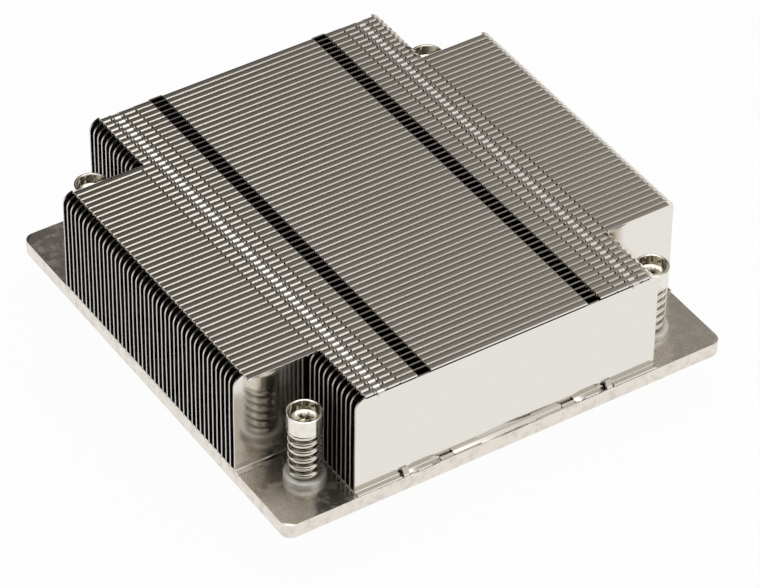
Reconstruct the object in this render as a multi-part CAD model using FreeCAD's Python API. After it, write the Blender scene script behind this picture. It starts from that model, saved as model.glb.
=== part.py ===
import FreeCAD, Part
import math
import os

# A passive 1U heatsink for a server processor: a stack of folded sheet fins, soldered to a flat
# base plate and held down by four captive spring screws.
#
# Frame: the origin is the centre of the base's contact face, +Z points up through the fins, the
# fins run along X and stack along Y, and the front is -Y. All sizes are in millimetres.

Vec = FreeCAD.Vector

# --- base plate ---------------------------------------------------------------------------------
PLATE_LENGTH = 95.0  # along X, which is also the length of the long fins
PLATE_DEPTH = 95.0  # along Y
PLATE_THICKNESS = 3.0
PLATE_CORNER_RADIUS = 2.1

# --- spring screws ------------------------------------------------------------------------------
SCREW_SPACING = 75.0  # square pattern of the processor socket
SHANK_RADIUS = 1.9
SHANK_HOLE_CLEARANCE = 0.1  # all round, in the plate
HEAD_RADIUS = 3.35
HEAD_HEIGHT = 3.6
CUP_WALL = 0.55  # rim left round the driver cup
CUP_DEPTH = 2.2
DRIVE_SPAN = 3.6  # end to end of the cross in the cup's floor
DRIVE_WIDTH = 0.8
DRIVE_DEPTH = 0.9
THREAD_RADIUS = 1.5  # nominal M3
THREAD_REACH = 10.3  # from the contact face down to the tip
NECK_RADIUS = 1.15  # groove for the retaining clip

# --- retaining clips ----------------------------------------------------------------------------
CLIP_RADIUS = 3.0
CLIP_THICKNESS = 0.6
CLIP_NECK_CLEARANCE = 0.05  # all round, on the neck
CLIP_AXIAL_PLAY = 0.02
CLIP_MOUTH = 2.1  # opening that snaps over the neck
CLIP_SETBACK = 0.05  # between the clip and the contact face's plane
CLIP_RECESS_CLEARANCE = 0.3  # all round the clip, in the plate's underside

# --- seat washers under the springs --------------------------------------------------------------
SEAT_RADIUS = 3.9
SEAT_THICKNESS = 1.3
SEAT_BORE_CLEARANCE = 0.15  # all round, on the shank

# --- springs ------------------------------------------------------------------------------------
SPRING_RADIUS = 3.25  # outside
SPRING_WIRE = 0.95
SPRING_LENGTH = 10.7  # as fitted, between seat and head
SPRING_PITCH = 1.83
SPRING_CLOSED_TURNS = 0.4  # flat turn at each end
SPRING_STATIONS = 7  # sections per turn
SPRING_SIDES = 6  # the round wire is drawn as a six-sided bar, flat side down

# --- fins ---------------------------------------------------------------------------------------
FIN_SHEET = 0.35
FIN_HEIGHT = 22.2
FIN_PITCH = 1.47
FIN_GAP = 0.01  # between a flange's edge and the next fin
FIN_CORNER_RADIUS = 2.5
FIN_CORNER_CHORDS = 2  # each corner's arc is drawn with this many flats, to keep 64 fins light
FRONT_MARGIN = 1.25  # plate edge to the first fin
BACK_MARGIN = 0.75  # least distance from the last fin to the plate edge
SEAT_ROW_CLEARANCE = 2.0  # from a seat washer to the long fins' faces
SEAT_END_CLEARANCE = 1.1  # from a seat washer to the short fins' ends
WINDOW_OFFSET = 18.05  # top windows, either side of the middle
WINDOW_LENGTH = 2.9
FOOT_WINDOW_OFFSET = 13.2  # windows in the front fin's foot
FOOT_WINDOW_LENGTH = 2.9
FINS_PER_WIDE_NODE = 2

# --- derived ------------------------------------------------------------------------------------
SEAT_TOP = PLATE_THICKNESS + SEAT_THICKNESS
HEAD_BOTTOM = SEAT_TOP + SPRING_LENGTH
HEAD_TOP = HEAD_BOTTOM + HEAD_HEIGHT
CLIP_TOP = CLIP_SETBACK + CLIP_THICKNESS
FIN_TOP = PLATE_THICKNESS + FIN_HEIGHT
FLANGE_REACH = FIN_PITCH - FIN_SHEET - FIN_GAP
SHORT_FIN_LENGTH = SCREW_SPACING - 2 * (SEAT_RADIUS + SEAT_END_CLEARANCE)
FIRST_FIN_Y = FRONT_MARGIN - PLATE_DEPTH / 2
LONG_FIN_LIMIT_Y = SCREW_SPACING / 2 - SEAT_RADIUS - SEAT_ROW_CLEARANCE

CORNERS = {
    "front_left": (-1, -1),
    "front_right": (1, -1),
    "back_left": (-1, 1),
    "back_right": (1, 1),
}


def cylinder(radius, z_low, z_high, x=0.0, y=0.0):
    return Part.makeCylinder(radius, z_high - z_low, Vec(x, y, z_low))


def box(x_low, x_high, y_low, y_high, z_low, z_high):
    size = (x_high - x_low, y_high - y_low, z_high - z_low)
    return Part.makeBox(*size, Vec(x_low, y_low, z_low))


def face(*corners):
    return Part.Face(Part.makePolygon([*corners, corners[0]]))


def screw_places():
    half = SCREW_SPACING / 2
    return {name: (sx * half, sy * half) for name, (sx, sy) in CORNERS.items()}


# --- base plate ---------------------------------------------------------------------------------
def base_plate():
    """Plated plate with rounded corners and four screw holes, recessed below for the clips."""
    plate = box(
        -PLATE_LENGTH / 2, PLATE_LENGTH / 2, -PLATE_DEPTH / 2, PLATE_DEPTH / 2, 0, PLATE_THICKNESS
    )
    uprights = [e for e in plate.Edges if abs(e.tangentAt(e.FirstParameter).z) > 0.5]
    plate = plate.makeFillet(PLATE_CORNER_RADIUS, uprights)
    hole_radius = SHANK_RADIUS + SHANK_HOLE_CLEARANCE
    recess_radius = CLIP_RADIUS + CLIP_RECESS_CLEARANCE
    for x, y in screw_places().values():
        plate = plate.cut(cylinder(hole_radius, -1, PLATE_THICKNESS + 1, x, y))
        plate = plate.cut(cylinder(recess_radius, -1, CLIP_TOP, x, y))
    return plate


# --- fins ---------------------------------------------------------------------------------------
def corner_arc(length):
    """Points up the rounded right-hand corner of a fin, ending level with the flange's underside."""
    radius = FIN_CORNER_RADIUS
    end_angle = math.asin((radius - FIN_SHEET) / radius)
    centre = Vec(length / 2 - radius, 0, FIN_TOP - radius)
    angles = [end_angle * i / FIN_CORNER_CHORDS for i in range(FIN_CORNER_CHORDS + 1)]
    return [centre + Vec(radius * math.cos(a), 0, radius * math.sin(a)) for a in angles]


def fin_web(length):
    """Upright sheet, its back on +Y, with the two upper corners rounded."""
    foot_z = PLATE_THICKNESS + FIN_SHEET
    right = [Vec(length / 2, 0, foot_z)] + corner_arc(length)
    left = [Vec(-p.x, 0, p.z) for p in reversed(right)]
    return face(*right, *left).extrude(Vec(0, FIN_SHEET, 0))


def flange(x_low, x_high, bend_z, edge_z):
    """Flange folded forward from the sheet's edge; its outer corner is a flat 45 degree bend."""
    profile = [
        Vec(x_low, FIN_SHEET, bend_z),
        Vec(x_low, 0, edge_z),
        Vec(x_low, -FLANGE_REACH, edge_z),
        Vec(x_low, -FLANGE_REACH, bend_z),
    ]
    return face(*profile).extrude(Vec(x_high - x_low, 0, 0))


def split_spans(x_low, x_high, window_offset, window_length):
    """Spans of a flange that is interrupted by a window either side of the middle."""
    inner = window_offset - window_length / 2
    outer = window_offset + window_length / 2
    return [(x_low, -outer), (-inner, inner), (outer, x_high)]


def top_flange(length):
    half = corner_arc(length)[-1].x
    spans = split_spans(-half, half, WINDOW_OFFSET, WINDOW_LENGTH)
    return [flange(a, b, FIN_TOP - FIN_SHEET, FIN_TOP) for a, b in spans]


def foot_flange(spans):
    return [flange(a, b, PLATE_THICKNESS + FIN_SHEET, PLATE_THICKNESS) for a, b in spans]


def folded_fin(length):
    """One fin: a sheet with a flange at its top and a foot flange that is soldered down."""
    foot = foot_flange([(-length / 2, length / 2)])
    return fin_web(length).multiFuse(top_flange(length) + foot).removeSplitter()


def front_fin():
    """First fin: it has nothing to reach forward to, so its top is left unfolded."""
    half = SHORT_FIN_LENGTH / 2
    foot = foot_flange(split_spans(-half, half, FOOT_WINDOW_OFFSET, FOOT_WINDOW_LENGTH))
    return fin_web(SHORT_FIN_LENGTH).multiFuse(foot).removeSplitter()


def fin_rows():
    """Y of each fin, front to back, as (short front rows, long rows, short back rows)."""
    last_y = PLATE_DEPTH / 2 - BACK_MARGIN - FIN_SHEET
    count = 1 + math.floor((last_y - FIRST_FIN_Y) / FIN_PITCH + 1e-9)
    rows = [FIRST_FIN_Y + i * FIN_PITCH for i in range(count)]
    front = [y for y in rows if y - FLANGE_REACH < -LONG_FIN_LIMIT_Y]
    back = [y for y in rows if y + FIN_SHEET > LONG_FIN_LIMIT_Y]
    return front, rows[len(front) : len(rows) - len(back)], back


def fin_nodes():
    front, long_rows, back = fin_rows()
    short_fin = folded_fin(SHORT_FIN_LENGTH)
    long_fin = folded_fin(PLATE_LENGTH)
    nodes = {"fin_front_01": front_fin().translated(Vec(0, front[0], 0))}
    for number, y in enumerate(front[1:], 2):
        nodes[f"fin_front_{number:02d}"] = short_fin.translated(Vec(0, y, 0))
    for first in range(0, len(long_rows), FINS_PER_WIDE_NODE):
        group = long_rows[first : first + FINS_PER_WIDE_NODE]
        name = f"fins_wide_{first + 1:02d}_{first + len(group):02d}"
        nodes[name] = Part.Compound([long_fin.translated(Vec(0, y, 0)) for y in group])
    for number, y in enumerate(back, 1):
        nodes[f"fin_back_{number:02d}"] = short_fin.translated(Vec(0, y, 0))
    return nodes


# --- spring screws ------------------------------------------------------------------------------
def screw():
    """Captive screw on the Z axis: cupped head, plain shank, neck for the clip and M3 end."""
    neck_top = CLIP_TOP + CLIP_AXIAL_PLAY / 2
    neck_bottom = CLIP_SETBACK - CLIP_AXIAL_PLAY / 2
    cup_radius = HEAD_RADIUS - CUP_WALL
    cup_floor = HEAD_TOP - CUP_DEPTH
    outline = [
        (0, -THREAD_REACH),
        (THREAD_RADIUS, -THREAD_REACH),
        (THREAD_RADIUS, neck_bottom),
        (NECK_RADIUS, neck_bottom),
        (NECK_RADIUS, neck_top),
        (SHANK_RADIUS, neck_top),
        (SHANK_RADIUS, HEAD_BOTTOM),
        (HEAD_RADIUS, HEAD_BOTTOM),
        (HEAD_RADIUS, HEAD_TOP),
        (cup_radius, HEAD_TOP),
        (cup_radius, cup_floor),
        (0, cup_floor),
    ]
    turned = face(*(Vec(r, 0, z) for r, z in outline)).revolve(Vec(), Vec(0, 0, 1), 360)
    long_half = DRIVE_SPAN / 2
    short_half = DRIVE_WIDTH / 2
    drive_low = cup_floor - DRIVE_DEPTH
    bar = box(-long_half, long_half, -short_half, short_half, drive_low, HEAD_TOP)
    cross_bar = box(-short_half, short_half, -long_half, long_half, drive_low, HEAD_TOP)
    return turned.cut(bar.fuse(cross_bar))


def clip():
    """Retaining clip in the screw's neck, held against the recess in the plate."""
    bore_radius = NECK_RADIUS + CLIP_NECK_CLEARANCE
    low, high = CLIP_SETBACK, CLIP_TOP
    ring = cylinder(CLIP_RADIUS, low, high).cut(cylinder(bore_radius, low - 1, high + 1))
    half_mouth = CLIP_MOUTH / 2
    return ring.cut(box(-half_mouth, half_mouth, -CLIP_RADIUS - 1, 0, low - 1, high + 1))


def seat_washer():
    """Plain washer between spring and plate."""
    bore_radius = SHANK_RADIUS + SEAT_BORE_CLEARANCE
    washer = cylinder(SEAT_RADIUS, PLATE_THICKNESS, SEAT_TOP)
    return washer.cut(cylinder(bore_radius, PLATE_THICKNESS - 1, SEAT_TOP + 1))


def spring_section(turn, climb):
    """Corners of the wire's section, upright and square to the spring's circle, at a turn."""
    mean_radius = SPRING_RADIUS - SPRING_WIRE / 2
    corner_reach = SPRING_WIRE / 2 / math.cos(math.pi / SPRING_SIDES)
    risen = min(max((turn - SPRING_CLOSED_TURNS) * SPRING_PITCH, 0), climb)
    bearing = 2 * math.pi * turn
    corners = []
    for side in range(SPRING_SIDES):
        angle = 2 * math.pi * side / SPRING_SIDES
        radius = mean_radius + SPRING_WIRE / 2 * math.cos(angle)
        z = SEAT_TOP + SPRING_WIRE / 2 + risen + corner_reach * math.sin(angle)
        corners.append(Vec(radius * math.cos(bearing), radius * math.sin(bearing), z))
    return corners


def spring():
    """Compression spring on the Z axis, with closed flat ends, skinned from section to section."""
    climb = SPRING_LENGTH - SPRING_WIRE
    turns = climb / SPRING_PITCH + 2 * SPRING_CLOSED_TURNS
    steps = round(turns * SPRING_STATIONS)
    sections = [spring_section(turns * i / steps, climb) for i in range(steps + 1)]
    skin = [face(*sections[0]), face(*sections[-1])]
    for near, far in zip(sections, sections[1:]):
        for side in range(SPRING_SIDES):
            after = (side + 1) % SPRING_SIDES
            skin.append(face(near[side], near[after], far[after]))
            skin.append(face(near[side], far[after], far[side]))
    return Part.Solid(Part.Shell(skin))


def screw_nodes():
    parts = {"screw": screw(), "spring": spring(), "clip": clip()}
    nodes = {}
    for corner, (x, y) in screw_places().items():
        for name, shape in parts.items():
            nodes[f"{name}_{corner}"] = shape.translated(Vec(x, y, 0))
    washers = [seat_washer().translated(Vec(x, y, 0)) for x, y in screw_places().values()]
    nodes["seat_washers"] = Part.Compound(washers)
    return nodes


def main():
    os.makedirs("parts", exist_ok=True)
    nodes = {"base_plate": base_plate(), **fin_nodes(), **screw_nodes()}
    for name, shape in nodes.items():
        shape.exportStep(f"parts/{name}.step")
    print(len(nodes), "nodes,", sum(len(s.Solids) for s in nodes.values()), "solids")


main()
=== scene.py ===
"""Dresses the frame of a passive server heatsink: folded fins, plate, spring screws and clips.

Meshes are modelled in millimetres and scaled to metres when they are finished. +Z points up
through the fins, the fins run along X and stack along Y, and the front is -Y.
"""

import logging
import math
import random
from dataclasses import dataclass
from enum import Enum
from typing import Optional, Union

import bmesh
import bpy
from bmesh.types import BMEdge, BMesh, BMFace, BMVert
from mathutils import Matrix, Vector


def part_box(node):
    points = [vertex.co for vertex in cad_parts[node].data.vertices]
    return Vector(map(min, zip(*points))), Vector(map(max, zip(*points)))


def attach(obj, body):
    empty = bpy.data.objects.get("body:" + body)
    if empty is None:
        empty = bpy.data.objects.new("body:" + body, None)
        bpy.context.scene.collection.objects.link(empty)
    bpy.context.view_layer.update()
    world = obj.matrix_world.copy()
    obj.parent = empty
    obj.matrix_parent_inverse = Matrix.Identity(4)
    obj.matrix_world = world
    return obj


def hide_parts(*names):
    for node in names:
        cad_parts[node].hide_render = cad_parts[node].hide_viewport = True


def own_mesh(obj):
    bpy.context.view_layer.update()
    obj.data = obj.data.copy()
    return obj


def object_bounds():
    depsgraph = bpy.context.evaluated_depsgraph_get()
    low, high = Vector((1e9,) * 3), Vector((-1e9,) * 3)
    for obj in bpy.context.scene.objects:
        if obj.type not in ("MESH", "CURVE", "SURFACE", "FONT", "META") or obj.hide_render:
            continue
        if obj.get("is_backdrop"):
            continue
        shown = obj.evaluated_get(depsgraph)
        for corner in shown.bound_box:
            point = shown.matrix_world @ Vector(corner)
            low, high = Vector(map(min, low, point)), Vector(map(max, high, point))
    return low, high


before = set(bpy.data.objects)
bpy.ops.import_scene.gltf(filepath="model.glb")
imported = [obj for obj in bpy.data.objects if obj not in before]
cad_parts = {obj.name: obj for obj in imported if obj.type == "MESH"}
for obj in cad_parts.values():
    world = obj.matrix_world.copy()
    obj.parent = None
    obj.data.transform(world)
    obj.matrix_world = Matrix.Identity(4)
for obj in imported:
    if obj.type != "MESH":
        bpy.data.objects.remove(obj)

LOG = logging.getLogger("heatsink")
MM = 0.001
HEATSINK_BODY = "heatsink"
CORNERS = ("front_left", "front_right", "back_left", "back_right")
SHARP_ANGLE = math.radians(34)
MERGE_DISTANCE = 1e-4
FULL_TURN = 2 * math.pi
MACHINED_RELIEF = 0.004  # mm
EDGE_MARGIN = 0.005  # mm, so that a fin's front face counts as the fin's


class Slot(Enum):
    """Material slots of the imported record."""

    PLATE = "plate"
    FINS = "fins"
    SCREWS = "screws"
    SPRINGS = "springs"
    CLIPS = "clips"
    WASHERS = "washers"


# --- shader maths ---
Operand = Union["Signal", float]
Pair = tuple[float, float]
Colour = tuple[float, float, float]
Tint = Union["Signal", Colour]
Surface = tuple["Signal", "Signal", "Signal"]


class Signal:
    """One output of a shader node, on which Python's operators add Math nodes."""

    def __init__(self, graph: "ShaderGraph", socket: bpy.types.NodeSocket) -> None:
        """Keeps the socket and the graph that it belongs to."""
        self.graph = graph
        self.socket = socket

    def output(self, name: str) -> "Signal":
        """Returns another output of the same node."""
        return Signal(self.graph, self.socket.node.outputs[name])

    def _math(self, operation: str, *operands: Operand) -> "Signal":
        """Returns the result of a Math node on the operands."""
        inputs = dict(enumerate(operands))
        return self.graph.node("ShaderNodeMath", {"operation": operation}, inputs)

    def __add__(self, other: Operand) -> "Signal":
        """Returns self + other."""
        return self._math("ADD", self, other)

    def __radd__(self, other: Operand) -> "Signal":
        """Returns other + self."""
        return self._math("ADD", other, self)

    def __sub__(self, other: Operand) -> "Signal":
        """Returns self - other."""
        return self._math("SUBTRACT", self, other)

    def __rsub__(self, other: Operand) -> "Signal":
        """Returns other - self."""
        return self._math("SUBTRACT", other, self)

    def __mul__(self, other: Operand) -> "Signal":
        """Returns self * other."""
        return self._math("MULTIPLY", self, other)

    def __rmul__(self, other: Operand) -> "Signal":
        """Returns other * self."""
        return self._math("MULTIPLY", other, self)

    def __truediv__(self, other: Operand) -> "Signal":
        """Returns self / other."""
        return self._math("DIVIDE", self, other)

    def floor(self) -> "Signal":
        """Returns the largest whole number that isn't above self."""
        return self._math("FLOOR", self)

    def ramp(self, low: float, high: float) -> "Signal":
        """Returns a smooth step from 0 at low to 1 at high."""
        settings = {"interpolation_type": "SMOOTHSTEP"}
        inputs = {"Value": self, "From Min": low, "From Max": high}
        return self.graph.node("ShaderNodeMapRange", settings, inputs)


class ShaderGraph:
    """Node tree of one material or world, with a single method that makes nodes."""

    def __init__(self, tree: bpy.types.NodeTree) -> None:
        """Empties the tree."""
        self.tree = tree
        self.tree.nodes.clear()

    def node(
        self,
        kind: str,
        settings: Optional[dict[str, str]] = None,
        inputs: Optional[dict[Union[str, int], object]] = None,
    ) -> Signal:
        """Adds a node.

        Args:
            kind: the node's type.
            settings: properties of the node, which are set first.
            inputs: a value or a signal for each named or numbered input.

        Returns:
            The node's first enabled output, or its first input where it has no output.
        """
        made = self.tree.nodes.new(kind)
        for name, value in (settings or {}).items():
            setattr(made, name, value)
        for name, value in (inputs or {}).items():
            if isinstance(value, Signal):
                self.tree.links.new(value.socket, made.inputs[name])
            else:
                made.inputs[name].default_value = value
        shown = [s for s in made.outputs if s.enabled]
        return Signal(self, shown[0] if shown else made.inputs[0])

    def place_mm(self) -> Signal:
        """Returns the Object coordinates in millimetres."""
        coordinates = self.node("ShaderNodeTexCoord").output("Object")
        settings = {"operation": "SCALE"}
        return self.node("ShaderNodeVectorMath", settings, {0: coordinates, "Scale": 1 / MM})

    def axes(self, vector: Signal) -> tuple[Signal, Signal, Signal]:
        """Returns a vector's X, Y and Z."""
        split = self.node("ShaderNodeSeparateXYZ", {}, {0: vector})
        return split.output("X"), split.output("Y"), split.output("Z")

    def stretched(self, vector: Signal, scale: tuple[float, float, float]) -> Signal:
        """Returns a vector times a scale for each axis."""
        settings = {"operation": "MULTIPLY"}
        return self.node("ShaderNodeVectorMath", settings, {0: vector, 1: scale})

    def noise(self, vector: Signal, scale: float, detail: float = 3.0) -> Signal:
        """Returns noise from about 0.3 to 0.7, at a scale in features per unit of the vector."""
        inputs = {"Vector": vector, "Scale": scale, "Detail": detail, "Roughness": 0.55}
        return self.node("ShaderNodeTexNoise", {}, inputs).output("Fac")

    def blend(self, factor: Operand, start: Tint, end: Tint) -> Signal:
        """Returns a colour between start and end, by a Mix node's colour sockets."""
        first, second = (t if isinstance(t, Signal) else (*t, 1.0) for t in (start, end))
        inputs = {"Factor": factor, 6: first, 7: second}
        mix = self.node("ShaderNodeMix", {"data_type": "RGBA"}, inputs)
        return Signal(self, mix.socket.node.outputs[2])

    def bump(self, height: Signal, depth_mm: float) -> Signal:
        """Returns the normal of a height from 0 to 1 that stands depth_mm high."""
        inputs = {"Height": height, "Distance": depth_mm * MM, "Strength": 1.0}
        return self.node("ShaderNodeBump", {}, inputs)


# --- finishes ---
@dataclass(frozen=True)
class Finish:
    """A bare metal whose tone, roughness and relief vary over the surface."""

    name: str
    slot: Slot
    colour: Colour
    dull_colour: Colour
    roughness: float
    roughness_spread: float

    def material(self) -> bpy.types.Material:
        """Returns the finish's material, made once."""
        known = bpy.data.materials.get(self.name)
        if known:
            return known
        made = bpy.data.materials.new(self.name)
        made.use_nodes = True
        graph = ShaderGraph(made.node_tree)
        tone, roughness, normal = self.surface(graph)
        inputs = {
            "Base Color": graph.blend(tone, self.colour, self.dull_colour),
            "Metallic": 1.0,
            "Roughness": roughness,
            "Normal": normal,
        }
        shader = graph.node("ShaderNodeBsdfPrincipled", {}, inputs)
        graph.node("ShaderNodeOutputMaterial", {}, {"Surface": shader})
        made.diffuse_color = (*self.colour, 1.0)
        return made

    def surface(self, graph: ShaderGraph) -> Surface:
        """Returns tone, roughness and normal signals. Each kind of metal has its own.

        Args:
            graph: the material's graph.

        Returns:
            The share of dull_colour, the roughness and the normal.
        """
        place = graph.place_mm()
        cloud = graph.noise(place, 0.25)
        grain = graph.noise(place, 6.0)
        tone = cloud.ramp(0.35, 0.65)
        roughness = self.roughness + self.roughness_spread * (grain - 0.5)
        return tone, roughness, graph.bump(grain, MACHINED_RELIEF)


@dataclass(frozen=True)
class RolledSheet(Finish):
    """Rolled aluminium sheet: fine grain along the fins, and each fin a little different.

    The fins' sheared ends, which face along X, are rougher than the sheet.
    """

    first_edge: float
    pitch: float
    fin_spread: float = 0.5
    grain_spread: float = 0.9
    stain_tone: float = 0.08
    stain_roughness: float = 0.02
    sheared_roughness: float = 0.40
    relief: float = 0.0022

    def surface(self, graph: ShaderGraph) -> Surface:
        """Returns the surface of rolled sheet, as Finish.surface does."""
        place = graph.place_mm()
        _, y, _ = graph.axes(place)
        fin = ((y - self.first_edge) / self.pitch).floor()
        lot = graph.node("ShaderNodeTexWhiteNoise", {"noise_dimensions": "1D"}, {"W": fin})
        grain = graph.noise(graph.stretched(place, (0.06, 2.2, 2.2)), 3.0, 4.0)
        smudge = graph.noise(graph.stretched(place, (0.5, 1.0, 1.0)), 0.16, 4.0)
        stain = smudge.ramp(0.50, 0.74)
        along, _, _ = graph.axes(graph.node("ShaderNodeTexCoord").output("Normal"))
        sheared = (along * along).ramp(0.4, 0.8)
        tone = self.fin_spread * lot + self.grain_spread * (grain - 0.5)
        roughness = self.roughness + self.roughness_spread * (grain - 0.5)
        roughness = roughness + self.stain_roughness * stain + self.sheared_roughness * sheared
        return tone + self.stain_tone * stain, roughness, graph.bump(grain, self.relief)


@dataclass(frozen=True)
class ScuffedPlate(Finish):
    """Nickel plating on ground metal: bright, mottled, with scuffs and a few scratches."""

    relief: float = 0.034
    scratch_turns: tuple[Pair, ...] = ((0.5, 11.0), (-1.0, 37.0))
    scratch_sharpness: float = 9000.0

    def surface(self, graph: ShaderGraph) -> Surface:
        """Returns the surface of scuffed plating, as Finish.surface does."""
        place = graph.place_mm()
        mottle = graph.noise(place, 0.55, 5.0)
        speck = graph.noise(place, 2.4, 3.0)
        ground = graph.noise(graph.stretched(place, (0.25, 3.0, 3.0)), 2.0, 3.0)
        scratch = self.scratches(graph, place)
        dull = mottle.ramp(0.44, 0.68)
        tone = 0.75 * dull + 0.4 * (speck - 0.5) + 0.1 * scratch
        roughness = self.roughness + self.roughness_spread * dull + 0.12 * (speck - 0.5)
        height = 0.45 * mottle + 0.25 * speck + 0.18 * ground + 0.06 * scratch
        return tone, roughness + 0.08 * scratch, graph.bump(height, self.relief)

    def scratches(self, graph: ShaderGraph, place: Signal) -> Signal:
        """Returns 1 on short fine scratches in two directions, and 0 elsewhere.

        Args:
            graph: the material's graph.
            place: coordinates in millimetres.

        Returns:
            The scratches' mask.
        """
        found: Operand = 0.0
        for angle, shift in self.scratch_turns:
            turn = (0.0, 0.0, angle)
            inputs = {"Vector": place, "Location": (shift, shift, 0.0), "Rotation": turn}
            turned = graph.node("ShaderNodeMapping", {"vector_type": "POINT"}, inputs)
            line = graph.noise(graph.stretched(turned, (0.07, 2.6, 1.0)), 1.0, 1.0) - 0.5
            away = (line * line * self.scratch_sharpness).ramp(0.0, 1.0)
            found = found + (1.0 - away) * graph.noise(turned, 0.22, 1.0).ramp(0.52, 0.6)
        return found.ramp(0.0, 1.0)


@dataclass(frozen=True)
class TurnedNickel(Finish):
    """Bright plating over lathe marks that run round the screw's axis."""

    def surface(self, graph: ShaderGraph) -> Surface:
        """Returns the surface of turned, plated metal, as Finish.surface does."""
        place = graph.place_mm()
        marks = graph.noise(graph.stretched(place, (0.15, 0.15, 7.0)), 1.0, 2.0)
        cloud = graph.noise(place, 0.9)
        tone = cloud.ramp(0.42, 0.7)
        roughness = self.roughness + self.roughness_spread * (marks - 0.4)
        return tone, roughness, graph.bump(marks, MACHINED_RELIEF)


# --- pieces ---
def box_mm(node: str) -> tuple[Vector, Vector]:
    """Returns a frame node's lowest and highest corner in millimetres."""
    low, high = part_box(node)
    return low / MM, high / MM


def screw_axis(corner: str) -> Vector:
    """Returns the point of a screw's axis that lies in the contact face."""
    low, high = box_mm(f"screw_{corner}")
    middle = (low + high) / 2
    return Vector((middle.x, middle.y, 0))


def pick(made: dict, kind: type) -> list:
    """Returns the vertices, edges or faces in an operator's geometry."""
    return [g for g in made["geom"] if isinstance(g, kind)]


def wire(mesh: BMesh, *points: Vector) -> list[BMEdge]:
    """Adds an open wire through a few points and returns its edges."""
    verts = [mesh.verts.new(p) for p in points]
    return [mesh.edges.new(pair) for pair in zip(verts, verts[1:])]


def round_off(
    mesh: BMesh, geometry: list, radius: float, segments: int, affect: str = "EDGES"
) -> None:
    """Rounds edges or corners.

    Args:
        mesh: the mesh that they belong to.
        geometry: the edges, or the vertices.
        radius: how far in the rounding starts.
        segments: how many faces or edges it has.
        affect: EDGES or VERTICES.
    """
    bmesh.ops.bevel(
        mesh,
        geom=geometry,
        offset=radius,
        offset_type="OFFSET",
        segments=segments,
        profile=0.5,
        affect=affect,
        material=-1,
    )


def finish_mesh(mesh: BMesh) -> None:
    """Merges doubles, turns faces outwards and keeps folds over SHARP_ANGLE sharp."""
    bmesh.ops.remove_doubles(mesh, verts=mesh.verts, dist=MERGE_DISTANCE)
    bmesh.ops.recalc_face_normals(mesh, faces=mesh.faces)
    for face in mesh.faces:
        face.smooth = True
    for edge in mesh.edges:
        edge.smooth = len(edge.link_faces) == 2 and edge.calc_face_angle(0.0) < SHARP_ANGLE


def add_piece(
    name: str,
    mesh: BMesh,
    finish: Finish,
    body: str,
    replaces: tuple[str, ...],
) -> bpy.types.Object:
    """Turns a finished mesh in millimetres into a piece that rides on a body.

    Args:
        name: the piece's name.
        mesh: its mesh, which is freed.
        finish: its finish.
        body: the frame body that it rides on.
        replaces: frame nodes that it stands for.

    Returns:
        The piece's object, at the origin.
    """
    bmesh.ops.scale(mesh, vec=(MM, MM, MM), verts=mesh.verts)
    data = bpy.data.meshes.new(name)
    mesh.to_mesh(data)
    mesh.free()
    data.materials.append(finish.material())
    piece = bpy.data.objects.new(name, data)
    bpy.context.scene.collection.objects.link(piece)
    weighted = piece.modifiers.new("even_shading", "WEIGHTED_NORMAL")
    weighted.keep_sharp = True
    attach(piece, body)
    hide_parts(*replaces)
    LOG.info("%s: %d faces on %s", name, len(data.polygons), body)
    return piece


# --- fins ---
class Fold(Enum):
    """What a stretch of a fin's top looks like."""

    PLAIN = "plain"
    SOFT = "soft"
    RELIEF = "relief"
    NOTCH = "notch"
    TONGUE = "tongue"
    WINDOW = "window"
    END = "end"


class Foot(Enum):
    """What a stretch of a fin's foot looks like."""

    BEND = "bend"
    TIGHT = "tight"
    OPEN = "open"
    STRAP = "strap"


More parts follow.
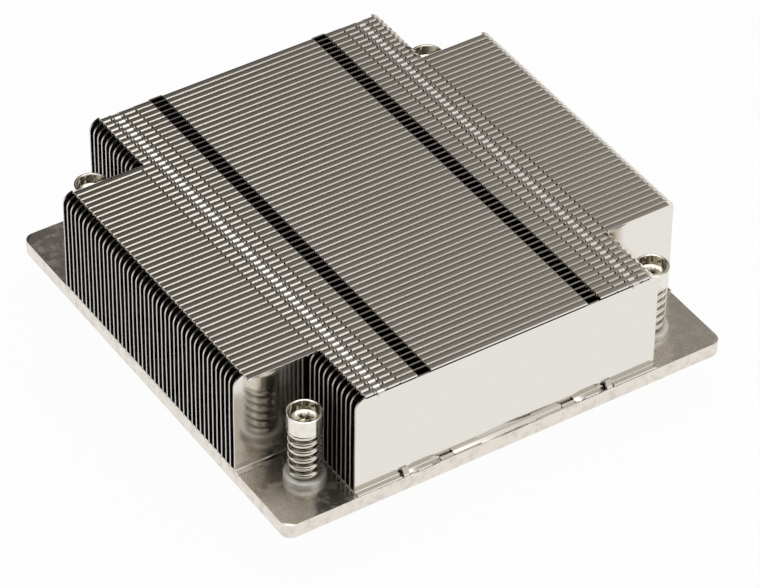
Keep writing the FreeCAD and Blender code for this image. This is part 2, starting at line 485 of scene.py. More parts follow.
@dataclass
class FoldedFin:
    """One sheet fin with a flange at its top, a foot flange, windows and interlocking tongues.

    Y runs from the front face of the upright sheet, and the flanges fold forward, to -Y. A top
    flange laps over the bend of the fin before it, up to that fin's front face.
    """

    length: float
    foot_z: float
    top_z: float
    reach: float
    pitch: float
    sheet: float = 0.35
    is_first: bool = False
    bend_radius: float = 0.9
    dash_radius: float = 1.0
    foot_radius: float = 0.5
    tight_radius: float = 0.37
    bend_segments: int = 6
    shape_zone: float = 1.15
    loop_gap: float = 0.12
    foot_zone: float = 0.55
    foot_lift: float = 0.08
    open_reach: float = 0.7
    strap_low: Pair = (1.12, 0.35)
    strap_high: Pair = (0.56, 1.0)
    rim_round: float = 0.06
    dash_round: float = 0.11
    rim_segments: int = 3
    lap_gap: float = 0.02
    flange_inset: float = 2.1
    corner_radius: float = 2.5
    corner_cuts: int = 6
    relief_depth: float = 0.75
    relief_setback: float = 0.12
    relief_width: float = 0.36
    notch_depth: float = 1.12
    window_centre: float = 18.2
    window_length: float = 2.9
    window_drop: float = 0.3
    lock_centre: float = 27.3
    tongue_width: float = 1.35
    notch_width: float = 1.8
    collar: float = 0.28
    soft_length: float = 2.3
    hook_reach: float = 0.52
    hook_radius: float = 0.74
    hook_drop: float = 1.0
    foot_stops: tuple[tuple[float, Foot], ...] = (
        (11.75, Foot.TIGHT),
        (14.65, Foot.OPEN),
        (21.3, Foot.BEND),
        (21.5, Foot.OPEN),
        (22.7, Foot.STRAP),
        (22.9, Foot.OPEN),
    )
    web_rows: int = 7
    wave: float = 0.06
    wave_reach: float = 9.0
    wave_turns: Pair = (0.7, 1.6)
    wave_shares: Pair = (0.3, 1.0)

    def flange_half(self) -> float:
        """Returns half the top flange's length."""
        return self.length / 2 - self.flange_inset

    def foot_at(self, x: float) -> Foot:
        """Returns what the foot looks like at a distance from the middle."""
        if not self.is_first:
            return Foot.BEND
        return next((foot for stop, foot in self.foot_stops if x < stop), Foot.BEND)

    def spans(self) -> list[tuple[float, float, Fold]]:
        """Returns the stretches of the right half of the top, from the middle outwards."""
        window, half_window = self.window_centre, self.window_length / 2
        lock, half_tongue = self.lock_centre, self.tongue_width / 2
        half_notch = self.notch_width / 2
        half_lock = half_notch + self.collar
        inner_dash = lock - half_lock - self.soft_length - self.relief_width
        stops = [
            (window - half_window, Fold.PLAIN),
            (window + half_window, Fold.WINDOW),
            (inner_dash - self.relief_width, Fold.PLAIN),
            (inner_dash, Fold.RELIEF),
            (inner_dash + self.soft_length, Fold.SOFT),
            (lock - half_lock, Fold.RELIEF),
            (lock - half_notch, Fold.PLAIN),
            (lock - half_tongue, Fold.NOTCH),
            (lock + half_tongue, Fold.TONGUE),
            (lock + half_notch, Fold.NOTCH),
            (lock + half_lock, Fold.PLAIN),
            (lock + half_lock + self.relief_width, Fold.RELIEF),
        ]
        soft_end = stops[-1][0] + self.soft_length
        edge = self.flange_half()
        if soft_end + self.relief_width < edge - self.relief_width:
            stops += [(soft_end, Fold.SOFT), (soft_end + self.relief_width, Fold.RELIEF)]
            stops += [(edge, Fold.PLAIN)]
        else:
            stops += [(edge, Fold.SOFT)]
        stops += [(self.length / 2, Fold.END)]
        if self.is_first:
            for cut, _ in self.foot_stops:
                stops.append(next((cut, fold) for stop, fold in stops if cut < stop))
                stops.sort(key=lambda stop: stop[0])
        starts = [0.0] + [stop for stop, _ in stops]
        return [(start, stop, fold) for start, (stop, fold) in zip(starts, stops)]

    def build(self, row: float, seed: int) -> BMesh:
        """Models the fin.

        Args:
            row: Y of the upright sheet's front face.
            seed: number of the fin, which sets how its sheet waves.

        Returns:
            The finished mesh in millimetres.
        """
        mesh = bmesh.new()
        for start, stop, fold in self.spans():
            self._add_span(mesh, start, stop, fold)
        self._round_corner(mesh)
        mirrored = bmesh.ops.duplicate(mesh, geom=mesh.verts[:] + mesh.edges[:] + mesh.faces[:])
        bmesh.ops.scale(mesh, vec=(-1, 1, 1), verts=pick(mirrored, BMVert))
        bmesh.ops.reverse_faces(mesh, faces=pick(mirrored, BMFace))
        bmesh.ops.remove_doubles(mesh, verts=mesh.verts, dist=MERGE_DISTANCE)
        self._wave(mesh, random.Random(seed))
        self._thicken(mesh)
        bmesh.ops.translate(mesh, vec=(0, row, 0), verts=mesh.verts)
        finish_mesh(mesh)
        return mesh

    def _add_span(self, mesh: BMesh, start: float, stop: float, fold: Fold) -> None:
        """Adds one stretch of the fin's outer surface.

        Args:
            mesh: the mesh that it goes in.
            start: X where it starts.
            stop: X where it stops.
            fold: what its top looks like.
        """
        foot = self.foot_at((start + stop) / 2)
        wires = self._foot_wire(mesh, start, foot)
        wires += self._web_wire(mesh, start, fold)
        if not self.is_first:
            wires += self._flange_wire(mesh, start, fold)
        made = bmesh.ops.extrude_edge_only(mesh, edges=wires)
        bmesh.ops.translate(mesh, vec=(stop - start, 0, 0), verts=pick(made, BMVert))

    def _point(self, x: float, forward: float, z: float) -> Vector:
        """Returns a point at a distance forward of the sheet's outer, back face."""
        return Vector((x, self.sheet - forward, z))

    def _foot_wire(self, mesh: BMesh, x: float, foot: Foot) -> list[BMEdge]:
        """Adds the foot flange's section in a stretch and returns its edges."""
        edge = self._point(x, self.sheet + self.reach, self.foot_z + self.foot_lift)
        fold = self._point(x, 0, self.foot_z)
        up = self._point(x, 0, self.foot_z + self.foot_zone)
        if foot is Foot.OPEN:
            return wire(mesh, edge, self._point(x, self.open_reach, self.foot_z))
        if foot is Foot.STRAP:
            rise = (self.strap_low, self.strap_high)
            low, high = (self._point(x, forward, self.foot_z + z) for forward, z in rise)
            return wire(mesh, edge, low, high, up)
        radius = self.tight_radius if foot is Foot.TIGHT else self.foot_radius
        near = self._point(x, self.foot_zone, self.foot_z)
        bend = self._rounded(mesh, (near, fold, up), radius, self.bend_segments)
        return wire(mesh, edge, near) + bend

    def _web_top(self, fold: Fold) -> float:
        """Returns how high the upright sheet stands in a stretch."""
        if self.is_first:
            return self.top_z - (0.0 if fold is Fold.END else self.sheet - self.lap_gap)
        drops = dict.fromkeys((Fold.RELIEF, Fold.NOTCH, Fold.TONGUE), self.relief_depth)
        drops |= {Fold.WINDOW: self.window_drop, Fold.END: 0.0}
        return self.top_z - drops.get(fold, self.shape_zone)

    def _web_wire(self, mesh: BMesh, x: float, fold: Fold) -> list[BMEdge]:
        """Adds the upright sheet's section in rows and returns its edges."""
        low = self.foot_z + self.foot_zone
        high = self.top_z - self.shape_zone
        levels = [low + (high - low) * i / self.web_rows for i in range(self.web_rows + 1)]
        levels[1:1] = [low + self.loop_gap]
        levels[-1:-1] = [high - self.loop_gap]
        if self._web_top(fold) > high + MERGE_DISTANCE:
            levels.append(self._web_top(fold))
        return wire(mesh, *(self._point(x, 0, z) for z in levels))

    def _flange_wire(self, mesh: BMesh, x: float, fold: Fold) -> list[BMEdge]:
        """Adds the top flange's section in a stretch and returns its edges."""
        if fold in (Fold.WINDOW, Fold.END):
            return []
        forward = self.sheet + self.pitch - self.lap_gap
        rim = self._point(x, forward, self.top_z)
        shared = self._point(x, self.shape_zone, self.top_z)
        if fold is Fold.NOTCH:
            return wire(mesh, self._point(x, self.notch_depth, self.top_z), rim)
        if fold is Fold.RELIEF:
            hole = self._point(x, self.relief_depth, self.top_z)
            return wire(mesh, hole, rim + Vector((0, self.relief_setback, 0)))
        if fold is Fold.TONGUE:
            bow = rim - Vector((0, self.hook_reach, 0))
            tip = bow - Vector((0, 0, self.hook_drop))
            return self._rounded(mesh, (shared, bow, tip), self.hook_radius, self.bend_segments)
        corner = self._point(x, 0, self.top_z)
        down = self._point(x, 0, self.top_z - self.shape_zone)
        low = rim - Vector((0, 0, self.sheet))
        radius, soft = self.dash_radius, self.dash_round
        if fold is Fold.PLAIN:
            radius, soft = self.bend_radius, self.rim_round
        bend = self._rounded(mesh, (down, corner, shared), radius, self.bend_segments)
        return bend + self._rounded(mesh, (shared, rim, low), soft, self.rim_segments)

    def _rounded(
        self,
        mesh: BMesh,
        points: tuple[Vector, Vector, Vector],
        radius: float,
        segments: int,
    ) -> list[BMEdge]:
        """Adds a bent wire through three points, its corner rounded, and returns its edges."""
        edges = wire(mesh, *points)
        corner = next(v for v in edges[0].verts if v in edges[1].verts)
        ends = [next(v for v in e.verts if v is not corner) for e in edges]
        round_off(mesh, [corner], radius, segments, "VERTICES")
        found, frontier = set(), list(ends)
        while frontier:
            for edge in frontier.pop().link_edges:
                if edge not in found and not edge.link_faces:
                    found.add(edge)
                    frontier += edge.verts
        return list(found)

    def _round_corner(self, mesh: BMesh) -> None:
        """Rounds the upper outer corner of the upright sheet with a ring of plane cuts."""
        radius = self.corner_radius
        centre = Vector((self.length / 2 - radius, 0, self.top_z - radius))
        for step in range(self.corner_cuts):
            angle = math.pi / 2 * (step + 0.5) / self.corner_cuts
            normal = Vector((math.cos(angle), 0, math.sin(angle)))
            outer = [f for f in mesh.faces if f.calc_center_median().x > self.flange_half()]
            edges = {e for f in outer for e in f.edges}
            verts = {v for f in outer for v in f.verts}
            bmesh.ops.bisect_plane(
                mesh,
                geom=[*outer, *edges, *verts],
                dist=MERGE_DISTANCE,
                plane_co=centre + normal * radius,
                plane_no=normal,
                clear_outer=True,
            )

    def _wave(self, mesh: BMesh, dice: random.Random) -> None:
        """Lets the thin sheet wave a little towards its free ends."""
        for side in (-1, 1):
            turns = dice.uniform(*self.wave_turns)
            phase = dice.uniform(0, FULL_TURN)
            size = self.wave * dice.uniform(*self.wave_shares)
            for vert in mesh.verts:
                outward = (side * vert.co.x - self.length / 2) / self.wave_reach + 1
                height = (vert.co.z - self.foot_z) / (self.top_z - self.foot_z)
                if outward > 0 and vert.co.y > self.sheet - MERGE_DISTANCE:
                    sway = math.sin(FULL_TURN * turns * height + phase)
                    hold = math.sin(math.pi * min(max(height, 0), 1))
                    vert.co.y += size * outward**2 * sway * hold

    def _thicken(self, mesh: BMesh) -> None:
        """Gives the sheet its thickness, inwards from its outer surface."""
        mesh.normal_update()
        inward = []
        for face in mesh.faces:
            middle = face.calc_center_median()
            core = Vector((middle.x, -self.reach / 2, (self.foot_z + self.top_z) / 2))
            if face.normal.dot(middle - core) < 0:
                inward.append(face)
        bmesh.ops.reverse_faces(mesh, faces=inward)
        bmesh.ops.solidify(mesh, geom=mesh.faces, thickness=self.sheet)


@dataclass
class FinStack:
    """The soldered stack of folded fins, one piece for each frame node."""

    finish: RolledSheet
    pitch: float
    sheet: float = 0.35
    flange_gap: float = 0.01

    def build(self) -> None:
        """Makes a piece for each fin node of the frame."""
        nodes = sorted(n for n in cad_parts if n.startswith("fin"))
        nodes.sort(key=lambda n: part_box(n)[1].y)
        number = 0
        for node in nodes:
            low, high = box_mm(node)
            fin = self.fin(node, low, high)
            whole = bmesh.new()
            for row in self.rows(low, high):
                self.join(whole, fin.build(row, number))
                number += 1
            add_piece(f"{node}_sheet", whole, self.finish, HEATSINK_BODY, (node,))

    def rows(self, low: Vector, high: Vector) -> list[float]:
        """Returns Y of each fin between a node's corners."""
        last = high.y - self.sheet
        count = round((last - low.y) / self.pitch)
        return [last - self.pitch * i for i in reversed(range(count))]

    def fin(self, node: str, low: Vector, high: Vector) -> FoldedFin:
        """Returns the fin that a node holds."""
        _, plate = box_mm("base_plate")
        return FoldedFin(
            length=high.x - low.x,
            foot_z=plate.z,
            top_z=high.z,
            reach=self.pitch - self.sheet - self.flange_gap,
            pitch=self.pitch,
            sheet=self.sheet,
            is_first=node == "fin_front_01",
        )

    @staticmethod
    def join(whole: BMesh, part: BMesh) -> None:
        """Adds part's mesh to whole and frees part."""
        data = bpy.data.meshes.new("part")
        part.to_mesh(data)
        part.free()
        whole.from_mesh(data)
        bpy.data.meshes.remove(data)


# --- plate ---
@dataclass
class BasePlate:
    """Plated base with rounded corners, softened edges, screw holes and clip recesses."""

    finish: Finish
    corner_radius: float = 2.1
    corner_segments: int = 12
    edge_radius: float = 0.12
    edge_segments: int = 2
    hole_radius: float = 2.0
    recess_radius: float = 3.3
    recess_depth: float = 0.65
    hole_sides: int = 64

    def build(self) -> None:
        """Makes the plate."""
        low, high = box_mm("base_plate")
        mesh = bmesh.new()
        bmesh.ops.create_cube(mesh, size=1.0)
        bmesh.ops.scale(mesh, vec=high - low, verts=mesh.verts)
        bmesh.ops.translate(mesh, vec=(low + high) / 2, verts=mesh.verts)
        round_off(mesh, self._uprights(mesh), self.corner_radius, self.corner_segments)
        round_off(mesh, self._rims(mesh), self.edge_radius, self.edge_segments)
        centres = [screw_axis(corner) for corner in CORNERS]
        for z, radius in ((high.z, self.hole_radius), (low.z, self.recess_radius)):
            self._pierce(mesh, z, radius, centres)
        for centre in centres:
            self._line_hole(mesh, centre, low.z, high.z)
        finish_mesh(mesh)
        add_piece("plated_base", mesh, self.finish, HEATSINK_BODY, ("base_plate",))

    @staticmethod
    def _uprights(mesh: BMesh) -> list[BMEdge]:
        """Returns the upright edges."""
        return [
            e for e in mesh.edges if abs(e.verts[0].co.z - e.verts[1].co.z) > MERGE_DISTANCE
        ]

    @staticmethod
    def _rims(mesh: BMesh) -> list[BMEdge]:
        """Returns the edges between the broad faces and the sides."""
        return [
            e
            for e in mesh.edges
            if {abs(f.normal.z) > 0.9 for f in e.link_faces} == {True, False}
        ]

    def _pierce(self, mesh: BMesh, z: float, radius: float, centres: list[Vector]) -> None:
        """Fills the broad face at a height again, round a hole for each centre."""
        broad = max(
            (f for f in mesh.faces if abs(f.calc_center_median().z - z) < MERGE_DISTANCE),
            key=lambda f: f.calc_area(),
        )
        rim = list(broad.edges)
        bmesh.ops.delete(mesh, geom=[broad], context="FACES_ONLY")
        for centre in centres:
            place = Matrix.Translation((centre.x, centre.y, z))
            ring = bmesh.ops.create_circle(
                mesh, segments=self.hole_sides, radius=radius, matrix=place
            )
            rim += {e for v in ring["verts"] for e in v.link_edges}
        bmesh.ops.triangle_fill(mesh, use_beauty=True, edges=rim)

    def _line_hole(self, mesh: BMesh, centre: Vector, low: float, high: float) -> None:
        """Adds the walls of a screw hole and of the recess under it."""
        place = Matrix.Translation((centre.x, centre.y, low))
        ring = bmesh.ops.create_circle(
            mesh, segments=self.hole_sides, radius=self.recess_radius, matrix=place
        )
        edges = list({e for v in ring["verts"] for e in v.link_edges})
        narrow = self.hole_radius / self.recess_radius
        to_middle = Matrix.Translation((-centre.x, -centre.y, 0))
        for rise, share in ((self.recess_depth, 1.0), (0.0, narrow), (high - low, 1.0)):
            made = bmesh.ops.extrude_edge_only(mesh, edges=edges)
            verts = pick(made, BMVert)
            bmesh.ops.scale(mesh, vec=(share, share, 1), space=to_middle, verts=verts)
            if rise:
                top = low + rise
                bmesh.ops.translate(mesh, vec=(0, 0, top - verts[0].co.z), verts=verts)
            edges = pick(made, BMEdge)


# --- screws ---
def spin(
    mesh: BMesh, geometry: list, centre: Vector, steps: int, turns: float = 1.0, climb: float = 0.0
) -> list:
    """Sweeps geometry round an upright axis, and closes it where it goes round once.

    Args:
        mesh: the mesh that it belongs to.
        geometry: what is swept.
        centre: a point on the axis.
        steps: how many steps the sweep has.
        turns: how many times it goes round.
        climb: how far it rises on the way.

    Returns:
        The geometry at the sweep's end.
    """
    swept = bmesh.ops.spin(
        mesh,
        geom=geometry,
        cent=centre,
        axis=(0, 0, 1),
        dvec=(0, 0, climb / steps),
        angle=FULL_TURN * turns,
        steps=steps,
        use_merge=turns == 1,
    )
    return swept["geom_last"]


def spin_section(
    mesh: BMesh, section: list[Pair], centre: Vector, steps: int, *sweep: float
) -> None:
    """Sweeps an open section, each point a radius and a height. sweep is turns and climb."""
    edges = wire(mesh, *(Vector((centre.x + r, centre.y, z)) for r, z in section))
    verts = list({v for e in edges for v in e.verts})
    spin(mesh, verts + edges, centre, steps, *sweep)


@dataclass
class SpringScrew:
    """A captive screw with a cupped head, a spring and a retaining clip."""

    corner: str
    finish: Finish
    spring_finish: Finish
    clip_finish: Finish
    steps: int = 96
    cup_wall: float = 0.55
    cup_depth: float = 2.2
    head_height: float = 3.6
    rim_round: float = 0.14
    shank_radius: float = 1.9
    neck_radius: float = 1.15
    neck_low: float = 0.04
    neck_high: float = 0.66
    thread_radius: float = 1.5
    thread_root: float = 1.22
    thread_pitch: float = 0.5
    thread_steps: int = 24
    thread_overlap: float = 0.05
    ridge_share: float = 0.84
    crest_share: float = 0.15
    tip_chamfer: float = 0.4
    drive_span: float = 3.6
    drive_width: float = 0.8
    drive_depth: float = 0.9
    drive_taper: float = 0.72
    wire_diameter: float = 1.05
    coil_pitch: float = 1.83
    closed_turns: float = 0.4
    wire_sides: int = 16
    coil_steps: int = 40
    travel: float = 4.0
    clip_round: float = 0.07

    def build(self) -> None:
        """Makes the screw, its spring and its clip."""
        self._build_screw()
        self._build_spring()
        self._build_clip()

    def _build_screw(self) -> None:
        """Makes the screw."""
        node = f"screw_{self.corner}"
        low, high = box_mm(node)
        centre = screw_axis(self.corner)
        head = (high.x - low.x) / 2
        mesh = bmesh.new()
        spin_section(mesh, self._section(head, low.z, high.z), centre, self.steps)
        self._cut_drive(mesh, centre, high.z - self.cup_depth, head)
        finish_mesh(mesh)
        self._add_thread(mesh, centre, low.z)
        add_piece(f"turned_screw_{self.corner}", mesh, self.finish, node, (node,))

    def _section(self, head: float, low: float, high: float) -> list[Pair]:
        """Returns the screw's half section from its tip to the floor of its cup."""
        cup = head - self.cup_wall
        under = high - self.head_height
        floor = high - self.cup_depth
        soft = self.rim_round
        middle = head - self.cup_wall / 2
        return [
            (0.0, low),
            (self.thread_root - self.tip_chamfer, low),
            (self.thread_root, low + self.tip_chamfer),
            (self.thread_root, self.neck_low - self.tip_chamfer),
            (self.thread_radius, self.neck_low - self.tip_chamfer / 2),
            (self.thread_radius, self.neck_low),
            (self.neck_radius, self.neck_low),
            (self.neck_radius, self.neck_high),
            (self.shank_radius, self.neck_high),
            (self.shank_radius, under),
            (head - soft, under),
            (head - soft / 3, under + soft / 3),
            (head, under + soft),
            (head, high - 2 * soft),
            (head - soft / 3, high - soft / 2),
            (middle + soft / 4, high),
            (middle - soft / 4, high),
            (cup + soft / 3, high - soft / 2),
            (cup, high - 2 * soft),
            (cup, floor + soft),
            (cup - soft / 3, floor + soft / 3),
            (cup - soft, floor),
        ]

    def _cut_drive(self, mesh: BMesh, centre: Vector, floor: float, head: float) -> None:
        """Closes the cup's floor round a tapered cross recess.

        Args:
            mesh: the screw's mesh.
            centre: the screw's axis.
            floor: height of the cup's floor.
            head: radius of the head.
        """
        ring_radius = head - self.cup_wall - self.rim_round
        ring = [
            e
            for e in mesh.edges
            if all(
                abs(v.co.z - floor) < MERGE_DISTANCE
                and abs((v.co - centre).xy.length - ring_radius) < 10 * MERGE_DISTANCE
                for v in e.verts
            )
        ]
        place = Matrix.Translation((centre.x, centre.y, floor))
        square = bmesh.ops.create_grid(
            mesh, x_segments=1, y_segments=1, size=self.drive_width / 2, matrix=place
        )
        core = square["verts"][0].link_faces[0]
        sides = list(core.edges)
        bmesh.ops.delete(mesh, geom=[core], context="FACES_ONLY")
        arm = (self.drive_span - self.drive_width) / 2
        cross = []
        for side in sides:
            outward = (side.verts[0].co + side.verts[1].co) / 2 - place.translation
            made = bmesh.ops.extrude_edge_only(mesh, edges=[side])
            bmesh.ops.translate(mesh, vec=outward.normalized() * arm, verts=pick(made, BMVert))
            cross += pick(made, BMFace)
        outline = [e for f in cross for e in f.edges if e not in sides]
        bmesh.ops.delete(mesh, geom=cross, context="FACES_ONLY")
        bmesh.ops.delete(mesh, geom=sides, context="EDGES")
        made = bmesh.ops.extrude_edge_only(mesh, edges=outline)
        bottom = pick(made, BMVert)
        to_axis = Matrix.Translation((-centre.x, -centre.y, 0))
        taper = (self.drive_taper, self.drive_taper, 1)
        bmesh.ops.scale(mesh, vec=taper, space=to_axis, verts=bottom)
        bmesh.ops.translate(mesh, vec=(0, 0, -self.drive_depth), verts=bottom)
        bmesh.ops.triangle_fill(mesh, use_beauty=True, edges=pick(made, BMEdge))
        bmesh.ops.triangle_fill(mesh, use_beauty=True, edges=ring + outline)

    def _add_thread(self, mesh: BMesh, centre: Vector, low: float) -> None:
        """Winds the thread's ridge round its core.

        Args:
            mesh: the screw's mesh.
            centre: the screw's axis.
            low: height of the tip.
        """
        start = low + self.tip_chamfer
        inner = self.thread_root - self.thread_overlap
        outer = self.thread_radius
        half = self.thread_pitch * self.ridge_share / 2
        flat = half * self.crest_share
        profile = (inner, 0), (outer, half - flat), (outer, half + flat), (inner, 2 * half)
        length = self.neck_low - self.tip_chamfer / 2 - start - 2 * half
        turns = length / self.thread_pitch
        steps = round(turns * self.thread_steps)
        section = [(radius, start + z) for radius, z in profile]
        spin_section(mesh, section, centre, steps, turns, length)

    def _build_spring(self) -> None:
        """Makes the spring."""
        node = f"spring_{self.corner}"
        low, high = box_mm(node)
        centre = screw_axis(self.corner)
        radius = self.wire_diameter / 2
        mean = (high.x - low.x) / 2 - radius
        climb = high.z - low.z - self.wire_diameter
        mesh = bmesh.new()
        place = Matrix.Translation((centre.x + mean, centre.y, low.z + radius))
        upright = Matrix.Rotation(math.pi / 2, 4, "X")
        made = bmesh.ops.create_circle(
            mesh, cap_ends=True, segments=self.wire_sides, radius=radius, matrix=place @ upright
        )
        verts = made["verts"]
        cap = verts[0].link_faces[0]
        geometry = [cap, *verts, *cap.edges]
        closed = (self.closed_turns, 0.0)
        for turns, rise in (closed, (climb / self.coil_pitch, climb), closed):
            steps = round(turns * self.coil_steps)
            geometry = spin(mesh, geometry, centre, steps, turns, rise)
        self._drop_inner_caps(mesh)
        finish_mesh(mesh)
        name = f"wound_spring_{self.corner}"
        spring = add_piece(name, mesh, self.spring_finish, HEATSINK_BODY, (node,))
        spring.modifiers.clear()
        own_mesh(spring)

    @staticmethod
    def _drop_inner_caps(mesh: BMesh) -> None:
        """Deletes the caps left inside the wire where one spin followed another."""
        inner = [f for f in mesh.faces if all(len(e.link_faces) > 2 for e in f.edges)]
        bmesh.ops.delete(mesh, geom=inner, context="FACES_ONLY")

    def _build_clip(self) -> None:
        """Makes the retaining clip, its edges softened."""
        node = f"clip_{self.corner}"
        mesh = bmesh.new()
        mesh.from_mesh(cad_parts[node].data)
        bmesh.ops.scale(mesh, vec=(1 / MM,) * 3, verts=mesh.verts)
        bmesh.ops.remove_doubles(mesh, verts=mesh.verts, dist=MERGE_DISTANCE)
        bmesh.ops.dissolve_limit(
            mesh, angle_limit=math.radians(1), verts=mesh.verts, edges=mesh.edges
        )
        rims = [e for e in mesh.edges if e.calc_face_angle(0.0) > math.radians(60)]
        round_off(mesh, rims, self.clip_round, 2)
        finish_mesh(mesh)
        add_piece(f"retaining_ring_{self.corner}", mesh, self.clip_finish, node, (node,))


@dataclass
class SeatWashers:
    """The four washers between the springs and the plate, in one piece as in the frame."""

    finish: Finish
    bore_radius: float = 2.05
    edge_round: float = 0.12
    steps: int = 80

    def build(self) -> None:
        """Makes the washers."""
        low, high = box_mm("seat_washers")
        mesh = bmesh.new()
        for corner in CORNERS:
            centre = screw_axis(corner)
            section = self._section(high.x - abs(centre.x), low.z, high.z)
            spin_section(mesh, section, centre, self.steps)
        finish_mesh(mesh)
        add_piece("spring_seats", mesh, self.finish, HEATSINK_BODY, ("seat_washers",))

    def _section(self, radius: float, low: float, high: float) -> list[Pair]:
        """Returns the closed half section of one washer."""
        soft = self.edge_round
        bore = self.bore_radius
        outline = [
            (bore, low),
            (radius - soft / 3, low),
            (radius, low + soft / 3),
            (radius, high - soft),
            (radius - soft * 0.3, high - soft * 0.3),
            (radius - soft, high),
            (bore + soft / 2, high),
            (bore, high - soft / 2),
        ]
        return outline + outline[:1]


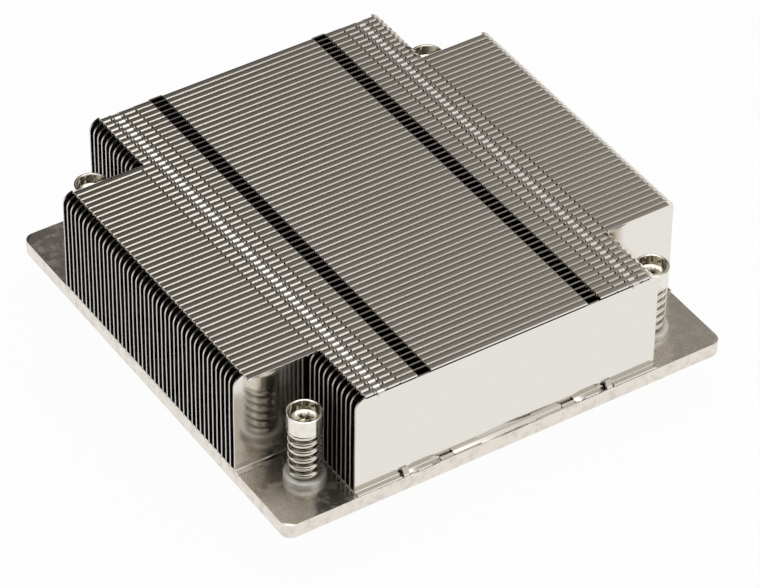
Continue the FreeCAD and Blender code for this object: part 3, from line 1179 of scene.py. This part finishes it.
# --- studio ---
@dataclass
class Studio:
    """A white floor, a soft studio and the camera.

    A heading is a direction in plan, by its X and Y. The walls fade into the sky over wall_top,
    which is how steeply a direction points up.
    """

    azimuth: float = math.radians(-33.342)
    elevation: float = math.radians(40.454)
    roll: float = math.radians(0.807)
    distance: float = 806.168
    target: tuple[float, float, float] = (-3.556, -9.511, 10.0)
    lens: float = 206.88
    floor_size: float = 6000.0
    floor_level: float = 0.9
    glow_share: float = 0.96
    lamp_height: float = 800.0
    lamp_size: float = 700.0
    lamp_power: float = 1.6
    back_heading: Pair = (0.55, 0.835)
    side_heading: Pair = (0.835, -0.55)
    camera_heading: Pair = (-0.81, -0.59)
    wall_top: Pair = (0.76, 0.86)
    sky_colour: Colour = (0.95, 0.95, 0.95)
    front_colour: Colour = (0.66, 0.64, 0.60)
    dark_colour: Colour = (0.045, 0.041, 0.037)
    grey_colour: Colour = (0.34, 0.32, 0.295)
    camera_colour: Colour = (0.04, 0.036, 0.03)

    def build(self) -> None:
        """Makes the camera, the floor, the surroundings and the lamp."""
        self._camera()
        self._floor()
        self._surroundings()
        self._lamp()
        bpy.context.scene.view_settings.view_transform = "Standard"

    def _camera(self) -> None:
        """Places the camera."""
        level, rise = math.cos(self.elevation), math.sin(self.elevation)
        back = Vector((math.sin(self.azimuth) * level, -math.cos(self.azimuth) * level, rise))
        data = bpy.data.cameras.new("camera")
        data.lens = self.lens
        data.clip_start = 0.01
        data.clip_end = 50.0
        camera = bpy.data.objects.new("camera", data)
        turn = (-back).to_track_quat("-Z", "Y") @ Matrix.Rotation(self.roll, 4, "Z").to_quaternion()
        camera.rotation_mode = "QUATERNION"
        camera.rotation_quaternion = turn
        camera.location = (Vector(self.target) + back * self.distance) * MM
        bpy.context.scene.collection.objects.link(camera)
        bpy.context.scene.camera = camera

    def _floor(self) -> None:
        """Makes the white floor under the screws' tips."""
        low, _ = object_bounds()
        mesh = bmesh.new()
        bmesh.ops.create_grid(mesh, x_segments=1, y_segments=1, size=self.floor_size / 2 * MM)
        bmesh.ops.translate(mesh, vec=(0, 0, low.z), verts=mesh.verts)
        data = bpy.data.meshes.new("floor")
        mesh.to_mesh(data)
        mesh.free()
        floor = bpy.data.objects.new("floor", data)
        bpy.context.scene.collection.objects.link(floor)
        data.materials.append(self._floor_material())
        floor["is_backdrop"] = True

    def _floor_material(self) -> bpy.types.Material:
        """Returns a white that camera and gloss rays see nearly evenly lit."""
        made = bpy.data.materials.new("white_floor")
        made.use_nodes = True
        graph = ShaderGraph(made.node_tree)
        path = graph.node("ShaderNodeLightPath")
        seen = path.output("Is Camera Ray") + path.output("Is Glossy Ray")
        seen = seen + path.output("Is Transmission Ray")
        white = (self.floor_level,) * 3 + (1.0,)
        matt = graph.node("ShaderNodeBsdfDiffuse", {}, {"Color": white})
        inputs = {"Color": (1.0, 1.0, 1.0, 1.0), "Strength": 1.0}
        glow = graph.node("ShaderNodeEmission", {}, inputs)
        share = seen.ramp(0.0, 1.0) * self.glow_share
        mixed = graph.node("ShaderNodeMixShader", {}, {0: share, 1: matt, 2: glow})
        graph.node("ShaderNodeOutputMaterial", {}, {"Surface": mixed})
        return made

    @staticmethod
    def _towards(direction: tuple[Signal, ...], heading: Pair) -> Signal:
        """Returns how far a direction points along a heading, from -1 to 1."""
        return heading[0] * direction[0] + heading[1] * direction[1]

    def _surroundings(self) -> None:
        """Makes the world: a pale sky, with walls behind, in front and by the camera."""
        world = bpy.data.worlds.new("studio")
        bpy.context.scene.world = world
        world.use_nodes = True
        graph = ShaderGraph(world.node_tree)
        direction = graph.axes(graph.node("ShaderNodeTexCoord").output("Generated"))
        up = direction[2]
        below_top = 1.0 - up.ramp(*self.wall_top)
        behind = self._towards(direction, self.back_heading).ramp(0.0, 0.25) * up.ramp(0.02, 0.12)
        near = self._towards(direction, self.camera_heading).ramp(0.40, 0.55) * up.ramp(0.05, 0.2)
        across = self._towards(direction, self.side_heading).ramp(-0.16, 0.16)
        back_wall = graph.blend(across, self.dark_colour, self.grey_colour)
        front_wall = up.ramp(0.25, 0.45) * below_top
        sky = graph.blend(front_wall, self.sky_colour, self.front_colour)
        sky = graph.blend(behind * below_top, sky, back_wall)
        sky = graph.blend(near, sky, self.camera_colour)
        light = graph.node("ShaderNodeBackground", {}, {"Color": sky, "Strength": 1.0})
        graph.node("ShaderNodeOutputWorld", {}, {"Surface": light})

    def _lamp(self) -> None:
        """Adds a square soft lamp overhead, which faces down as lamps do."""
        data = bpy.data.lights.new("overhead", "AREA")
        data.shape = "SQUARE"
        data.size = self.lamp_size * MM
        data.energy = self.lamp_power
        lamp = bpy.data.objects.new("overhead", data)
        lamp.location = (0, 0, self.lamp_height * MM)
        bpy.context.scene.collection.objects.link(lamp)


def fin_pitch() -> float:
    """Returns the distance from fin to fin."""
    near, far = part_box("fin_front_02")[0].y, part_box("fin_front_03")[0].y
    return (far - near) / MM


def main() -> None:
    """Builds the object round the frame, and the studio."""
    logging.basicConfig(level=logging.INFO, format="%(name)s: %(message)s")
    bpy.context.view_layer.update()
    pitch = fin_pitch()
    first_low, _ = box_mm("fin_front_01")
    tones = (0.81, 0.78, 0.735), (0.745, 0.715, 0.665)
    first_edge = first_low.y - EDGE_MARGIN
    sheet = RolledSheet("rolled_aluminium", Slot.FINS, *tones, 0.12, 0.09, first_edge, pitch)
    plating = ScuffedPlate(
        "scuffed_nickel_plate", Slot.PLATE, (0.80, 0.75, 0.68), (0.66, 0.61, 0.55), 0.20, 0.14
    )
    turned = TurnedNickel(
        "turned_nickel", Slot.SCREWS, (0.83, 0.80, 0.73), (0.76, 0.72, 0.64), 0.09, 0.10
    )
    wound = Finish(
        "plated_spring_wire", Slot.SPRINGS, (0.80, 0.77, 0.70), (0.70, 0.67, 0.60), 0.12, 0.12
    )
    satin = Finish(
        "satin_nickel", Slot.WASHERS, (0.93, 0.915, 0.885), (0.84, 0.82, 0.785), 0.52, 0.15
    )
    steel = Finish(
        "spring_steel", Slot.CLIPS, (0.56, 0.56, 0.55), (0.42, 0.41, 0.39), 0.36, 0.2
    )
    BasePlate(plating).build()
    FinStack(sheet, pitch).build()
    for corner in CORNERS:
        SpringScrew(corner, turned, wound, steel).build()
    SeatWashers(satin).build()
    Studio().build()


if __name__ == "__main__":
    main()
